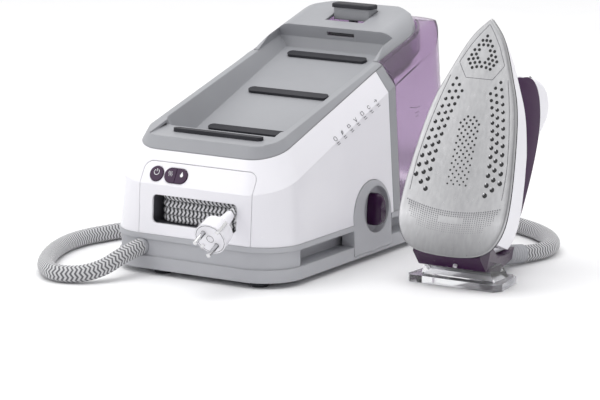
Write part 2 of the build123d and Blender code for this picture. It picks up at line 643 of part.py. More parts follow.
def write():
    """Shifts every part so that the origin is the bottom centre of the object without its cords."""
    os.makedirs("parts", exist_ok=True)
    low, high = [1e9, 1e9], [-1e9, -1e9]
    for name, shape in parts.items():
        if name in ON_CORDS:
            continue
        bounds = shape.bounding_box()
        low = [min(low[0], bounds.min.X), min(low[1], bounds.min.Y)]
        high = [max(high[0], bounds.max.X), max(high[1], bounds.max.Y)]
    shift = [-(a + b) / 2 for a, b in zip(low, high)]
    print("shift", shift)
    for name, shape in parts.items():
        export_step(Pos(*shift, 0) * shape, f"parts/{name}.step")


ON_CORDS = ("mains_cord_coil", "mains_cord_lead", "plug_body", "plug_pins", "steam_hose")

base()
knob()
body()
cord_store()
cover()
rest_strips()
lock()
tank()
inside()
iron()
hose()
write()
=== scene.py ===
"""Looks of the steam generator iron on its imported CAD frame.

Lengths here are millimetres in the station's own frame: x from its centre line, y from its middle, z from the
table. at() turns them into metres in the shared frame. The iron has a frame of its own: x across, w from its
soleplate into it, u from heel to tip.
"""

import math

import bmesh
import bpy
from mathutils import Matrix, Vector


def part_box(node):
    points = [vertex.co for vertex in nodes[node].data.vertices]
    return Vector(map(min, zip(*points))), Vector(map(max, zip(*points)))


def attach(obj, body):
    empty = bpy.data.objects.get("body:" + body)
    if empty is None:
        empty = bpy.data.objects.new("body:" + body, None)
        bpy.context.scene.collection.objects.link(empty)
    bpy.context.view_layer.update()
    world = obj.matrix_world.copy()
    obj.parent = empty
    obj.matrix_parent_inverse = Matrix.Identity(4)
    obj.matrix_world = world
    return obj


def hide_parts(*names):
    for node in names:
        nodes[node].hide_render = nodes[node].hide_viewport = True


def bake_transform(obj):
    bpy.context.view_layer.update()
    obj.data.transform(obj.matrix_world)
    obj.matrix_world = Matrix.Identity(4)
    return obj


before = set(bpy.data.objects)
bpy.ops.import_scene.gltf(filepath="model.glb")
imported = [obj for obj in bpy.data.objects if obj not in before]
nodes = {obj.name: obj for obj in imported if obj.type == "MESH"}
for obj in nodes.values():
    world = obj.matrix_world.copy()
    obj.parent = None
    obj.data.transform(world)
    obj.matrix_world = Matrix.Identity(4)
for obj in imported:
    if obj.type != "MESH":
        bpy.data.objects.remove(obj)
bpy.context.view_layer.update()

low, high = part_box("base_tray")
ORIGIN = Vector(((low[0] + high[0]) / 2, low[1] + 0.1907, 0.0))
TILT = math.radians(22.5)
IRON = Matrix.Translation(ORIGIN + Vector((0.2475, -0.0869, 0.0365))) @ Matrix.Rotation(-TILT, 4, "X")


def at(x, y, z):
    return ORIGIN + Vector((x, y, z)) / 1000


def on_iron(x, w, u):
    return IRON @ (Vector((x, w, u)) / 1000)


# Materials ------------------------------------------------------------------------------------------------------


class Graph:
    """A material's node tree, with short names for the nodes used here."""

    def __init__(self, name):
        self.material = bpy.data.materials.new(name)
        self.material.use_nodes = True
        self.tree = self.material.node_tree
        self.shader = self.tree.nodes["Principled BSDF"]

    def add(self, kind, **inputs):
        node = self.tree.nodes.new("ShaderNode" + kind)
        for key, value in inputs.items():
            self.put(node, key.replace("_", " "), value)
        return node

    def put(self, node, key, value):
        socket = node.inputs[int(key)] if key.isdigit() else node.inputs[key]
        if isinstance(value, bpy.types.NodeSocket):
            self.tree.links.new(value, socket)
        else:
            socket.default_value = value

    def math(self, operation, a, b=0.0):
        node = self.add("Math")
        node.operation = operation
        self.put(node, "0", a)
        self.put(node, "1", b)
        return node.outputs[0]

    def ramp(self, factor, stops):
        node = self.add("ValToRGB", Fac=factor)
        ramp = node.color_ramp
        while len(ramp.elements) < len(stops):
            ramp.elements.new(0.5)
        for element, (place, color) in zip(ramp.elements, stops):
            element.position, element.color = place, (*color, 1.0)
        return node.outputs[0]

    def noise(self, scale, detail=3.0, stretch=(1, 1, 1)):
        where = self.add("TexCoord").outputs["Object"]
        mapped = self.add("Mapping", Vector=where, Scale=stretch).outputs[0]
        node = self.add("TexNoise", Vector=mapped, Scale=scale, Detail=detail)
        return node.outputs["Fac"]

    def relief(self, height, strength, distance, edge=0.0):
        bump = self.add("Bump", Height=height, Strength=strength, Distance=distance)
        if edge:
            bevel = self.add("Bevel", Radius=edge)
            bevel.samples = 4
            self.put(bump, "Normal", bevel.outputs[0])
        self.put(self.shader, "Normal", bump.outputs[0])


def moulded(name, dark, light, rough, grain=900.0, depth=0.15, edge=0.0012, coat=0.0, **sockets):
    """Moulded plastic: two near shades in broad clouds, a fine grain in the relief and the gloss."""
    g = Graph(name)
    g.put(g.shader, "Base Color", g.ramp(g.noise(9.0), [(0.3, dark), (0.7, light)]))
    g.put(g.shader, "Roughness", g.math("MULTIPLY_ADD", g.noise(grain / 6), 0.12))
    g.shader.inputs["Roughness"].links[0].from_node.inputs[2].default_value = rough - 0.06
    g.shader.inputs["Coat Weight"].default_value = coat
    g.shader.inputs["Coat Roughness"].default_value = 0.06
    for key, value in sockets.items():
        g.shader.inputs[key.replace("_", " ")].default_value = value
    g.relief(g.noise(grain, 2.0), depth, 0.0002, edge)
    return g.material


def braid(name, period, zigzags, dark, light):
    """Textile braid in zigzag stripes. U runs once round the cord and V along it, in metres."""
    g = Graph(name)
    uv = g.add("SeparateXYZ", Vector=g.add("UVMap").outputs[0])
    around = g.math("PINGPONG", g.math("MULTIPLY", uv.outputs[0], zigzags * 2.0), 1.0)
    along = g.math("DIVIDE", uv.outputs[1], period)
    stripe = g.math("PINGPONG", g.math("ADD", along, g.math("MULTIPLY", around, 0.55)), 0.5)
    strands = g.math("PINGPONG", g.math("MULTIPLY", uv.outputs[0], zigzags * 12.0), 0.5)
    threads = g.math("PINGPONG", g.math("MULTIPLY", along, 5.0), 0.5)
    fuzz = g.math("MULTIPLY", g.noise(2500.0, 2.0), 0.10)
    color = g.ramp(g.math("ADD", stripe, fuzz), [(0.24, dark), (0.34, light)])
    g.put(g.shader, "Base Color", color)
    g.shader.inputs["Roughness"].default_value = 0.85
    g.shader.inputs["Sheen Weight"].default_value = 0.3
    height = g.math("ADD", g.math("MULTIPLY", strands, threads), g.math("MULTIPLY", stripe, 0.5))
    g.relief(height, 0.7, 0.0005)
    return g.material


def metal(name, dark, light, rough, stretch=(1, 1, 1), depth=0.1):
    """Coated or brushed metal, with fine grain drawn out along one way."""
    g = Graph(name)
    g.put(g.shader, "Base Color", g.ramp(g.noise(260.0, 4.0, stretch), [(0.3, dark), (0.7, light)]))
    g.shader.inputs["Metallic"].default_value = 1.0
    g.put(g.shader, "Roughness", g.math("MULTIPLY_ADD", g.noise(400.0, 2.0, stretch), 0.15))
    g.shader.inputs["Roughness"].links[0].from_node.inputs[2].default_value = rough - 0.07
    g.relief(g.noise(1800.0, 2.0, stretch), depth, 0.0001, 0.0008)
    return g.material


def tinted(name, dark, light, rough, transmission, ior=1.45):
    """Clear or tinted plastic that lets light through, with faint flow marks."""
    g = Graph(name)
    g.put(g.shader, "Base Color", g.ramp(g.noise(6.0), [(0.3, dark), (0.7, light)]))
    g.shader.inputs["Transmission Weight"].default_value = transmission
    g.shader.inputs["IOR"].default_value = ior
    g.put(g.shader, "Roughness", g.math("MULTIPLY_ADD", g.noise(50.0), 0.06))
    g.shader.inputs["Roughness"].links[0].from_node.inputs[2].default_value = rough - 0.03
    g.relief(g.noise(25.0), 0.05, 0.0005)
    return g.material


WHITE = moulded("white_gloss", (0.84, 0.83, 0.87), (0.88, 0.87, 0.91), 0.24, coat=0.25)
GREY = moulded("grey_cover", (0.31, 0.315, 0.335), (0.35, 0.355, 0.375), 0.42, depth=0.35, edge=0.002)
BASE = moulded("grey_base", (0.43, 0.435, 0.46), (0.47, 0.475, 0.50), 0.38, depth=0.3, edge=0.0016)
RUBBER = moulded("dark_rubber", (0.026, 0.026, 0.032), (0.045, 0.045, 0.052), 0.6, depth=0.5, edge=0.001,
                 Specular_IOR_Level=0.25)
INSIDE = moulded("cord_bay", (0.09, 0.09, 0.105), (0.12, 0.12, 0.135), 0.5, depth=0.3)
BLACK = moulded("black_plastic", (0.02, 0.02, 0.024), (0.035, 0.035, 0.04), 0.4, depth=0.3)
VIOLET = moulded("dark_violet", (0.024, 0.004, 0.028), (0.034, 0.007, 0.040), 0.25, coat=0.08,
                 Specular_IOR_Level=0.25)
INLAY_VIOLET = moulded("violet_inlay", (0.040, 0.010, 0.048), (0.050, 0.015, 0.060), 0.32,
                       Specular_IOR_Level=0.1)
MARK = moulded("pale_mark", (0.8, 0.8, 0.84), (0.88, 0.88, 0.9), 0.4, edge=0.0)
LEGEND = moulded("grey_legend", (0.07, 0.07, 0.08), (0.10, 0.10, 0.115), 0.5, edge=0.0)
BOARD = moulded("board", (0.015, 0.09, 0.04), (0.02, 0.12, 0.05), 0.4)
SOLE = metal("soleplate_coat", (0.52, 0.52, 0.535), (0.58, 0.58, 0.595), 0.34, (1, 1, 0.08))
SOLE_FACE = metal("sole_coating_and_sheen", (0.47, 0.47, 0.48), (0.53, 0.53, 0.54), 0.30, (1, 1, 0.08))
STEEL = metal("steel", (0.45, 0.45, 0.46), (0.6, 0.6, 0.61), 0.3)
CHROME = metal("pins", (0.62, 0.62, 0.63), (0.72, 0.72, 0.73), 0.15)
BRASS = metal("brass", (0.5, 0.36, 0.14), (0.62, 0.46, 0.2), 0.3)
TANK = tinted("violet_tank", (0.62, 0.50, 0.66), (0.70, 0.59, 0.74), 0.16, 0.9, 1.3)
CLEAR = tinted("clear_rest", (0.90, 0.91, 0.94), (0.96, 0.96, 0.98), 0.06, 0.96, 1.49)
LAMP = tinted("lamp", (0.9, 0.85, 0.92), (0.98, 0.95, 1.0), 0.2, 0.4)
HOSE_BRAID = braid("hose_textile", 0.0042, 7, (0.13, 0.13, 0.14), (0.62, 0.62, 0.63))
CORD_BRAID = braid("cord_textile", 0.0050, 3, (0.035, 0.035, 0.04), (0.70, 0.70, 0.72))
ETCH = moulded("etched_line", (0.10, 0.10, 0.11), (0.16, 0.16, 0.17), 0.5, edge=0.0)
# Near black: painted shade for the inside of the sole's steam holes.
HOLE_SHADE = moulded("sole_hole", (0.006, 0.006, 0.007), (0.012, 0.012, 0.013), 0.6, edge=0.0)



def painted_sheen_bands(material, stops_x, stops_z):
    """Darkens a metal's colour in soft bands across and up the object, leaving lighter bands between: painted
    reflection in place of the light its polish would mirror.
    """
    g = Graph.__new__(Graph)
    g.material, g.tree = material, material.node_tree
    g.shader = g.tree.nodes["Principled BSDF"]
    place = g.add("SeparateXYZ", Vector=g.add("TexCoord").outputs["Object"])
    bands = []
    for axis, stops in ((0, stops_x), (2, stops_z)):
        (first, _), (last, _) = stops[0], stops[-1]
        part = g.math("DIVIDE", g.math("SUBTRACT", place.outputs[axis], first), last - first)
        bands.append(g.ramp(part, [((at_ - first) / (last - first), (v, v, v)) for at_, v in stops]))
    color = g.shader.inputs["Base Color"].links[0].from_socket
    for band in bands:
        mix = g.add("VectorMath")
        mix.operation = "MULTIPLY"
        g.put(mix, "0", color)
        g.put(mix, "1", band)
        color = mix.outputs[0]
    g.put(g.shader, "Base Color", color)


IRON_X = on_iron(0, 0, 0).x
# Painted reflection on the sole's face: lighter at its left and right edges, towards the tip and in a band where the
# heel turns up, darker across the middle.
painted_sheen_bands(
    SOLE_FACE,
    [(IRON_X - 0.064, 1.0), (IRON_X - 0.035, 0.86), (IRON_X + 0.01, 0.74), (IRON_X + 0.045, 0.84), (IRON_X + 0.064, 1.0)],
    [(0.035, 0.80), (0.06, 0.88), (0.073, 1.0), (0.083, 0.84), (0.12, 0.82), (0.20, 0.90), (0.275, 1.0)],
)

WEAR = {
    "base_tray": BASE, "base_deck": BASE, "rubber_feet": RUBBER, "knob_housing": BASE, "descale_knob": VIOLET,
    "knob_seal": RUBBER, "drain_valve": BRASS, "front_panel": WHITE, "body_shell": WHITE, "rear_frame": GREY,
    "power_button": VIOLET, "pressure_button": VIOLET, "mode_button": VIOLET, "cord_compartment": INSIDE,
    "cord_gland": BLACK, "plug_body": WHITE, "plug_pins": CHROME, "top_cover": GREY, "rest_strips": RUBBER,
    "lip_strip": RUBBER, "lock_slider": GREY, "lock_top": RUBBER, "lock_latch": BLACK, "water_tank": TANK,
    "tank_collar": VIOLET, "tank_lid": VIOLET, "fill_flap": TANK, "tank_valve": BLACK, "tank_inlet": RUBBER,
    "boiler": STEEL, "boiler_brackets": STEEL, "pump": BLACK, "pump_foot": RUBBER, "pump_tube": BLACK,
    "steam_valve": BRASS, "boiler_tube": BRASS, "control_board": BOARD, "case_screws": STEEL, "soleplate": SOLE,
    "heater_block": STEEL, "iron_skirt": WHITE, "handle_shell": WHITE, "handle_inlay_left": INLAY_VIOLET,
    "handle_inlay_right": INLAY_VIOLET, "steam_trigger": WHITE, "shot_button": VIOLET, "heel_cap": VIOLET,
    "heel_lamp": LAMP, "heel_rest": CLEAR, "hose_gland": BASE, "hose_relief": WHITE,
}
for name, material in WEAR.items():
    nodes[name].data.materials.clear()
    nodes[name].data.materials.append(material)


# Mesh helpers ---------------------------------------------------------------------------------------------------


def piece(name, mesh, material, body, smooth=True):
    """A piece of the object from a mesh or a curve, riding on a body unless it is None."""
    made = bpy.data.objects.new(name, mesh)
    bpy.context.scene.collection.objects.link(made)
    mesh.materials.append(material)
    if smooth and isinstance(mesh, bpy.types.Mesh):
        mesh.shade_smooth()
    if body:
        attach(made, body)
    return made


def from_bmesh(name, build):
    """A mesh from a bmesh that build() fills."""
    bm = bmesh.new()
    build(bm)
    bmesh.ops.recalc_face_normals(bm, faces=bm.faces)
    mesh = bpy.data.meshes.new(name)
    bm.to_mesh(mesh)
    bm.free()
    return mesh


def spline_points(points, order=3):
    """Close points along the NURBS spline that has these control points."""
    curve = bpy.data.curves.new("route", "CURVE")
    curve.dimensions = "3D"
    curve.resolution_u = 24
    spline = curve.splines.new("NURBS")
    spline.points.add(len(points) - 1)
    for point, place in zip(spline.points, points):
        point.co = (*place, 1.0)
    spline.order_u = order
    spline.use_endpoint_u = True
    holder = bpy.data.objects.new("route", curve)
    mesh = bpy.data.meshes.new_from_object(holder)
    found = [v.co.copy() for v in mesh.vertices]
    bpy.data.objects.remove(holder)
    bpy.data.meshes.remove(mesh)
    return found


def even(points, step):
    """The same line with points at even steps along it."""
    lengths = [0.0]
    for a, b in zip(points, points[1:]):
        lengths.append(lengths[-1] + (b - a).length)
    count = max(2, round(lengths[-1] / step))
    found, i = [], 0
    for k in range(count + 1):
        target = lengths[-1] * k / count
        while i < len(points) - 2 and lengths[i + 1] < target:
            i += 1
        span = lengths[i + 1] - lengths[i]
        found.append(points[i].lerp(points[i + 1], (target - lengths[i]) / span if span else 0.0))
    return found


def tube_mesh(name, path, radius, sides=28):
    """A round tube along a path, with U round it and V along it in metres. radius is a number or a function."""
    tangent = (path[1] - path[0]).normalized()
    side = tangent.cross(Vector((0, 0, 1))).normalized()
    vertices, faces, uvs = [], [], []
    along = 0.0
    for i, point in enumerate(path):
        ahead = path[min(i + 1, len(path) - 1)] - path[max(i - 1, 0)]
        tangent = ahead.normalized()
        side = (side - tangent * side.dot(tangent)).normalized()
        up = tangent.cross(side)
        if i:
            along += (point - path[i - 1]).length
        r = radius(along) if callable(radius) else radius
        for k in range(sides):
            a = 2 * math.pi * k / sides
            vertices.append(point + side * (r * math.cos(a)) + up * (r * math.sin(a)))
        uvs.append(along)
    for i in range(len(path) - 1):
        for k in range(sides):
            n = (k + 1) % sides
            faces.append((i * sides + k, i * sides + n, (i + 1) * sides + n, (i + 1) * sides + k))
    body = len(faces)
    faces.append(tuple(range(sides))[::-1])
    faces.append(tuple((len(path) - 1) * sides + k for k in range(sides)))
    mesh = bpy.data.meshes.new(name)
    mesh.from_pydata(vertices, [], faces)
    layer = mesh.uv_layers.new(name="UVMap")
    for index, polygon in enumerate(mesh.polygons):
        for corner, loop in enumerate(polygon.loop_indices):
            if index < body:
                i, k = divmod(index, sides)
                u = (k + (1 if corner in (1, 2) else 0)) / sides
                layer.data[loop].uv = (u, uvs[i + (1 if corner in (2, 3) else 0)])
    return mesh


def outline_solid(name, outer, hole, half, rounding, place):
    """A closed profile with an optional hole, extruded both ways from its plane and rounded all round its rims."""
    curve = bpy.data.curves.new(name, "CURVE")
    curve.dimensions, curve.fill_mode = "2D", "BOTH"
    curve.resolution_u = 10
    for loop in (outer, hole):
        if not loop:
            continue
        spline = curve.splines.new("BEZIER")
        spline.bezier_points.add(len(loop) - 1)
        for point, (a, b) in zip(spline.bezier_points, loop):
            point.co = (a / 1000, b / 1000, 0)
            point.handle_left_type = point.handle_right_type = "AUTO"
        spline.use_cyclic_u = True
    curve.extrude = (half - rounding) / 1000
    curve.bevel_depth = rounding / 1000
    curve.offset = -rounding / 1000
    curve.bevel_resolution = 4
    holder = bpy.data.objects.new(name, curve)
    mesh = bpy.data.meshes.new_from_object(holder)
    bpy.data.objects.remove(holder)
    bm = bmesh.new()
    bm.from_mesh(mesh)
    bmesh.ops.remove_doubles(bm, verts=bm.verts, dist=1e-6)
    bmesh.ops.recalc_face_normals(bm, faces=bm.faces)
    bm.to_mesh(mesh)
    bm.free()
    mesh.transform(place)
    return mesh


def soft_edges(made, angle=35):
    """Smooth shading that keeps creases sharper than the angle."""
    made.data.shade_smooth()
    made.data.set_sharp_from_angle(angle=math.radians(angle))


# (w, u) in the profile's plane, across the iron along its normal
ACROSS_IRON = IRON @ Matrix(((0, 0, 1, 0), (1, 0, 0, 0), (0, 1, 0, 0), (0, 0, 0, 1)))


# Camera, light and floor ----------------------------------------------------------------------------------------

azimuth, elevation = math.radians(32.204), math.radians(11.763)
back = Vector((math.sin(azimuth) * math.cos(elevation), -math.cos(azimuth) * math.cos(elevation), math.sin(elevation)))
camera = bpy.data.objects.new("camera", bpy.data.cameras.new("camera"))
bpy.context.scene.collection.objects.link(camera)
camera.data.sensor_width = 36.0
camera.data.lens = 36.0 * 3287.1 / 600
camera.data.clip_end = 50.0
camera.location = at(17.3, 0, 54.65) + back * 3.6024
camera.rotation_mode = "QUATERNION"
camera.rotation_quaternion = (-back).to_track_quat("-Z", "Y")
bpy.context.scene.camera = camera
bpy.context.scene.view_settings.view_transform = "Standard"


def light(name, place, target, size, power, color=(1, 1, 1)):
    data = bpy.data.lights.new(name, "AREA")
    data.shape, data.size, data.size_y = "RECTANGLE", size[0], size[1]
    data.energy, data.color = power, color
    lamp = bpy.data.objects.new(name, data)
    bpy.context.scene.collection.objects.link(lamp)
    lamp.location = place
    lamp.rotation_mode = "QUATERNION"
    lamp.rotation_quaternion = (Vector(target) - Vector(place)).to_track_quat("-Z", "Y")


light("over", (-0.3, -0.2, 2.2), (0, 0, 0.1), (1.8, 1.8), 22)
light("left", (-1.75, -2.0, 1.45), (0, 0, 0.15), (1.3, 1.3), 9)
light("right", (2.4, 0.4, 1.1), (0, 0, 0.15), (0.8, 1.4), 1.5)

world = bpy.data.worlds.new("studio")
bpy.context.scene.world = world
world.use_nodes = True
tree = world.node_tree
sky = tree.nodes["Background"]
where = tree.nodes.new("ShaderNodeTexCoord")
ramp = tree.nodes.new("ShaderNodeValToRGB")
dot = tree.nodes.new("ShaderNodeVectorMath")
dot.operation = "DOT_PRODUCT"
dot.inputs[1].default_value = (-0.40, 0.62, 0.68)
half = tree.nodes.new("ShaderNodeMath")
half.operation = "MULTIPLY_ADD"
half.inputs[1].default_value = half.inputs[2].default_value = 0.5
tree.links.new(where.outputs["Generated"], dot.inputs[0])
tree.links.new(dot.outputs["Value"], half.inputs[0])
tree.links.new(half.outputs[0], ramp.inputs[0])
tree.links.new(ramp.outputs[0], sky.inputs[0])
ramp.color_ramp.elements[0].position, ramp.color_ramp.elements[0].color = 0.12, (0.20, 0.20, 0.23, 1)
ramp.color_ramp.elements[1].position, ramp.color_ramp.elements[1].color = 0.72, (1.0, 1.0, 1.0, 1)
sky.inputs[1].default_value = 1.0

floor_mesh = bpy.data.meshes.new("floor")
floor_mesh.from_pydata([(-9, -9, 0), (9, -9, 0), (9, 9, 0), (-9, 9, 0)], [], [(0, 1, 2, 3)])
floor = bpy.data.objects.new("floor", floor_mesh)
bpy.context.scene.collection.objects.link(floor)
floor.location.z = -0.0003
paper = moulded("paper", (0.93, 0.93, 0.935), (0.95, 0.95, 0.955), 0.6, edge=0.0)
floor_mesh.materials.append(paper)


# Steam hose and mains cord --------------------------------------------------------------------------------------

HOSE = [
    (-63, -192, 29), (-66, -218, 25), (-74, -243, 14), (-91, -264, 9), (-117, -271, 9),
    (-144, -252, 9), (-168, -215, 9), (-188, -170, 9), (-197, -120, 9), (-184, -72, 9),
    (-164, -24, 9), (-150, 40, 9), (-146, 110, 9), (-156, 190, 9), (-182, 280, 9),
    (-204, 370, 9), (-190, 452, 9), (-134, 500, 9), (-62, 472, 9), (-22, 400, 9),
    (4, 322, 9), (50, 256, 9), (116, 224, 9), (181, 200, 9), (223, 177, 9),
    (252, 148, 9), (267, 116, 9), (265, 86, 9), (258, 64, 11),
]
hose_path = even(spline_points([at(*p) for p in HOSE]), 0.003)
hose = piece("steam_hose_braid", tube_mesh("steam_hose_braid", hose_path, 0.009), HOSE_BRAID, None)
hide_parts("steam_hose")
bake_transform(hose)


def winding():
    """The wound mains cord: four layers, each with an outer and an inner turn, then out to the plug."""
    turns = []
    for layer in range(4):
        for part in (0, 1) if layer % 2 == 0 else (1, 0):
            half_x, half_y, bend = 56.2 - 8 * part, 31.0 - 8 * part, 18.0 - 2.0 * part
            loose = 0.5 * math.sin(2.3 * len(turns))
            for k in range(16):
                a = 2 * math.pi * k / 16 + math.pi / 16
                x = 9.7 + math.copysign(half_x - bend, math.cos(a)) + bend * math.cos(a)
                y = -145.5 - math.copysign(half_y - bend, math.sin(a)) - (bend + loose) * math.sin(a)
                turns.append((x, y, 60.2 + 7.85 * layer + 0.25 * loose))
    out = [(65.0, -153.0, 83.6), (60.0, -166.0, 83.6), (54.5, -177.5, 83.2), (53.0, -188.5, 79.7), (54.4, -196.0, 77.2)]
    return [(20.0, -114.5, 60.2), (50.0, -116.5, 60.2), (64.0, -130.0, 60.2)] + turns + out


cord_path = even(spline_points([at(*p) for p in winding()]), 0.002)
print("LENGTHS", sum((b - a).length for a, b in zip(hose_path, hose_path[1:])),
      sum((b - a).length for a, b in zip(cord_path, cord_path[1:])))
cord = piece("mains_cord_braid", tube_mesh("mains_cord_braid", cord_path, 0.0039, 20), CORD_BRAID,
             "station")
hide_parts("mains_cord_coil", "mains_cord_lead")

# Iron -----------------------------------------------------------------------------------------------------------

SOLE_HALF = [
    (0.0, 0.0), (2.0, 29.0), (8.0, 46.6), (20.0, 57.0), (37.0, 62.5), (60.0, 63.3), (93.0, 60.5),
    (140.0, 54.0), (170.0, 47.0), (194.0, 37.5), (222.0, 25.5), (240.0, 15.0), (256.0, 0.0),
]
SOLE_THICK = 5.0
HEEL_BEND = 46.0  # the sole turns back into the iron below this height


def through(points, steps=8):
    """A smooth line through the points, straight on past its last one."""
    knots = [Vector(p) for p in points]
    ends = [2 * knots[0] - knots[1], *knots, 2 * knots[-1] - knots[-2]]
    found = []
    for a, b, c, d in zip(ends, ends[1:], ends[2:], ends[3:]):
        for k in range(steps):
            t = k / steps
            found.append(0.5 * (2 * b + (c - a) * t + (2 * a - 5 * b + 4 * c - d) * t**2 + (3 * b - 3 * c + d - a) * t**3))
    return found + [knots[-1]]


def sole_outline():
    """The soleplate's outline as (x, u), round from the heel by the right side to the tip and back."""
    right = [(-29.0, 2.0)] + [(half, u) for u, half in SOLE_HALF]
    right = through(right)[8:]
    return right + [Vector((-p.x, p.y)) for p in right[-2:0:-1]]


def inset(loop, distance):
    """A closed line moved inward."""
    moved = []
    for i, point in enumerate(loop):
        before, after = loop[i - 1], loop[(i + 1) % len(loop)]
        a, b = (point - before).normalized(), (after - point).normalized()
        normal = Vector((-(a + b).y, (a + b).x)).normalized()
        moved.append(point + normal * distance / max(0.6, normal.dot(Vector((-a.y, a.x)))))
    return moved


def bend_in(u):
    return 3.4 * max(0.0, (HEEL_BEND - u) / HEEL_BEND) ** 2


def sole_mesh():
    loop = sole_outline()
    rings = []
    for distance, part in ((1.0, 1.0), (0.3, 0.9), (0.0, 0.75), (0.0, 0.3), (0.3, 0.1), (0.9, 0.02), (1.6, 0.0)):
        rings.append([(p.x, bend_in(p.y) + (SOLE_THICK - bend_in(p.y)) * part, p.y) for p in inset(loop, distance)])
    edge = inset(loop, 1.6)
    for step in range(1, 17):
        ring = []
        for p in edge:
            x, u = Vector((p.x, p.y)).lerp(Vector((0.0, min(max(p.y, 34.0), 232.0))), step / 16)
            ring.append((x, bend_in(u), u))
        rings.append(ring)
    count = len(loop)
    vertices = [on_iron(*p) for ring in rings for p in ring]
    faces = [(r * count + k, r * count + (k + 1) % count, (r + 1) * count + (k + 1) % count, (r + 1) * count + k)
             for r in range(len(rings) - 1) for k in range(count)]
    faces.append(tuple(range(count)))
    mesh = bpy.data.meshes.new("sole_face")
    mesh.from_pydata(vertices, [], faces)
    bm = bmesh.new()
    bm.from_mesh(mesh)
    bmesh.ops.remove_doubles(bm, verts=bm.verts, dist=1e-5)
    bmesh.ops.recalc_face_normals(bm, faces=bm.faces)
    bm.to_mesh(mesh)
    bm.free()
    return mesh


sole = piece("sole_face", sole_mesh(), SOLE_FACE, "iron")
soft_edges(sole, 50)
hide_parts("soleplate")

TIP_HOLES = [
    (0, 236.6), (0, 231.7), (4.5, 231.5), (2.7, 226.8), (8, 226.2), (6.5, 221.2), (11.8, 220.7), (9, 216.2),
    (14.3, 215.1), (6.3, 212.2), (11.5, 211.1), (16.8, 210), (3.2, 208), (8.7, 207), (14, 205.8), (0, 203.4),
    (5.6, 202.8), (10.8, 201.4),
]
SIDE_HOLES = [  # across and along for the first hole, each step, and each step's growth
    (26.4, 2.75, -0.065, 188.6, -7.3, -0.13), (21.6, 2.7, -0.08, 182, -7.2, -0.145),
    (17.0, 2.85, -0.11, 175.6, -7.0, -0.165),
]


def sole_holes():
    """Centre, radius and openness of every steam hole; an open one is a crescent under a raised bead."""
    holes = [(side * x, u, 1.75, 0) for x, u in TIP_HOLES for side in ((1, -1) if x else (1,))]
    for x0, x1, x2, u0, u1, u2 in SIDE_HOLES:
        for k in range(13):
            x, u = x0 + x1 * k + x2 * k * k, u0 + u1 * k + u2 * k * k
            for side in (1, -1):
                holes.append((side * x - 0.1 * k, u, 1.8 + 0.075 * k, min(1.0, max(0.0, (k - 2) / 4))))
    for row in range(21):
        u = 149 - 3.65 * row
        across = (-3.65, 3.65) if row == 0 else (-7.3, 0, 7.3) if row % 2 else (-10.95, -3.65, 3.65, 10.95)
        holes += [(x - 0.06 * row, u, 1.35 - 0.018 * row, 0) for x in across]
    return holes


# Dark discs on the sole's face: painted shade for the inside of each steam hole; an open hole's disc is a crescent
# beside its bead.
def hole_shade_discs(bm):
    for x, u, radius, opened in sole_holes():
        w = bend_in(u) - 0.12
        outer = [(math.cos(a), math.sin(a)) for a in (math.radians(172 + 280 * k / 16) for k in range(17))]
        if opened > 0.2:
            inner = [(-0.58 + 0.48 * math.cos(a), 0.55 + 0.48 * math.sin(a))
                     for a in (math.radians(-130 + 210 * k / 10) for k in range(11))]
        else:
            outer = [(math.cos(a), math.sin(a)) for a in (2 * math.pi * k / 18 for k in range(18))]
            inner = []
        bm.faces.new([bm.verts.new(on_iron(x + radius * a, w, u + radius * b)) for a, b in outer + inner])


def bead_faces(bm):
    for x, u, radius, opened in sole_holes():
        if opened <= 0.2:
            continue
        cx, cu, r = x - 0.58 * radius, u + 0.55 * radius, 0.42 * radius
        rings = []
        for size_, lift in ((1.0, 0.0), (0.75, 0.35), (0.35, 0.55)):
            rings.append([bm.verts.new(on_iron(cx + r * size_ * math.cos(a), -0.1 - lift, cu + r * size_ * math.sin(a)))
                          for a in (2 * math.pi * k / 12 for k in range(12))])
        for low_ring, high_ring in zip(rings, rings[1:]):
            for k in range(12):
                n = (k + 1) % 12
                bm.faces.new((low_ring[k], low_ring[n], high_ring[n], high_ring[k]))
        bm.faces.new(rings[-1])


def dot_faces(bm):
    """Fine dots in ten curved rows across the heel, with a plain field in the middle."""
    for row in range(11):
        for column in range(-21, 22):
            x = 2.62 * column
            u = 46.5 - 2.15 * row + 9.0 * (x / 56) ** 2
            if 3 <= row <= 5 and abs(x) < 15 or abs(x) > 56 - 1.2 * row or row > 7 and abs(x) > 40:
                continue
            r = 0.85 - 0.045 * row
            bm.faces.new([bm.verts.new(on_iron(x + r * math.cos(a), bend_in(u) - 0.1, u + r * math.sin(a)))
                          for a in (2 * math.pi * k / 7 for k in range(7))])


piece("sole_holes", from_bmesh("sole_holes", hole_shade_discs), HOLE_SHADE, "iron", smooth=False)
piece("sole_beads", from_bmesh("sole_beads", bead_faces), SOLE, "iron")
piece("sole_dots", from_bmesh("sole_dots", dot_faces), ETCH, "iron", smooth=False)


def joined(name, meshes):
    bm = bmesh.new()
    for mesh in meshes:
        bm.from_mesh(mesh)
    made = bpy.data.meshes.new(name)
    bm.to_mesh(made)
    bm.free()
    return made


tip_line = [(0, 249.4), (9, 238), (17, 226), (27, 206.4), (16, 190.4)]
tip_line = tip_line + [(-x, u) for x, u in tip_line[::-1]]
side_line = [(34.2, 191.6), (41, 167), (47, 140), (50.5, 120), (53.5, 99), (54.5, 80), (54.8, 65)]
lines = [even([on_iron(x, 0.02, u) for x, u in tip_line], 0.002)]
for side in (1, -1):
    lines.append(even([on_iron(side * p.x, 0.02, p.y) for p in through(side_line)], 0.002))
etched = joined("sole_lines", [tube_mesh("line", line, 0.00032, 6) for line in lines])
piece("sole_lines", etched, ETCH, "iron")
rim_path = [on_iron(p.x, SOLE_THICK + 0.5, p.y) for p in inset(sole_outline(), 0.6)]
piece("sole_gasket", tube_mesh("sole_gasket", rim_path, 0.0007, 8), RUBBER, "iron")

